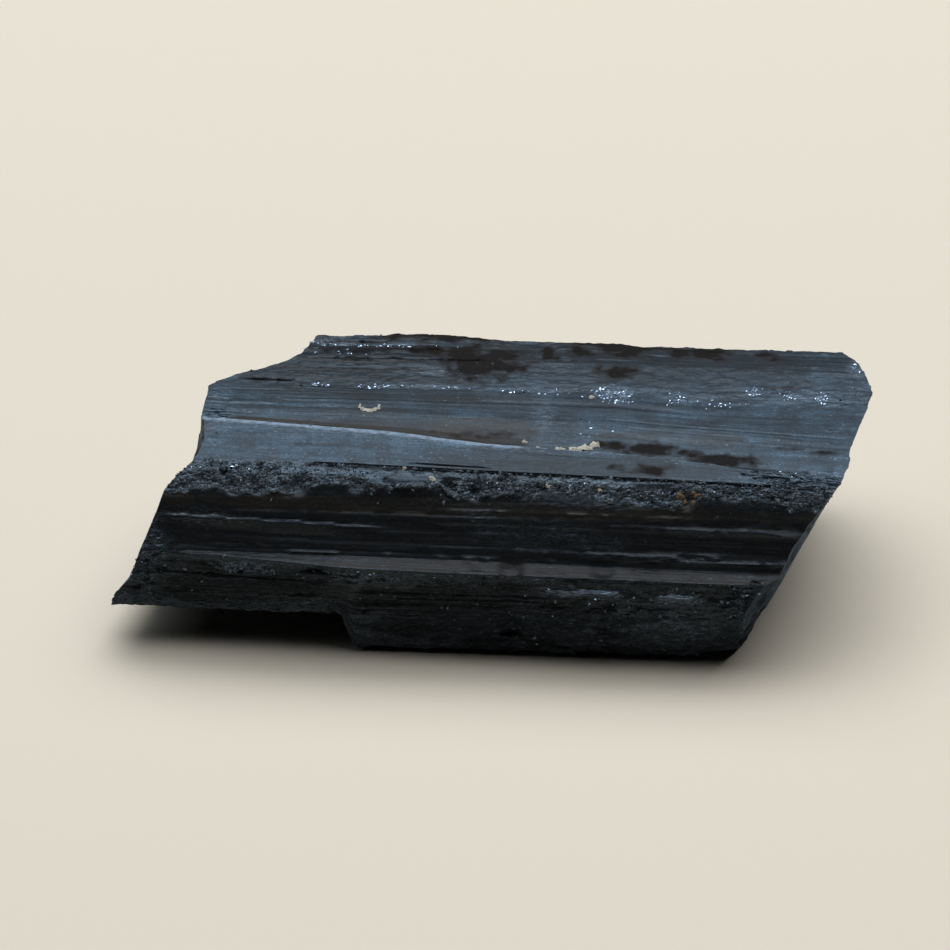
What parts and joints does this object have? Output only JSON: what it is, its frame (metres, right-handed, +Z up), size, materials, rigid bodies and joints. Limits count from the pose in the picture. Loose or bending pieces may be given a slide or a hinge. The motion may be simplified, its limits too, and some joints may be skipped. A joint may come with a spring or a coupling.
{
  "type": "black tourmaline crystal",
  "caption": "Broken piece of black tourmaline lying on its side: a flat banded top, a chipped ridge, a steep ribbed front with a narrow ledge, and oblique broken ends.",
  "frame": {"origin": "on the ground, at the middle of the overall box's base", "axes": "+X along the crystal's own long axis, towards the end whose break slants back over the foot; +Y from the ledged front to the back; +Z up"},
  "size_m": [0.0537, 0.0248, 0.0133],
  "materials": {
    "schorl": "black mineral, dull glassy shine along lengthwise striations, grainy on the ridge and the broken ends"
  },
  "bodies": {
    "root": {"tourmaline_crystal": "schorl"}
  },
  "joints": []
}
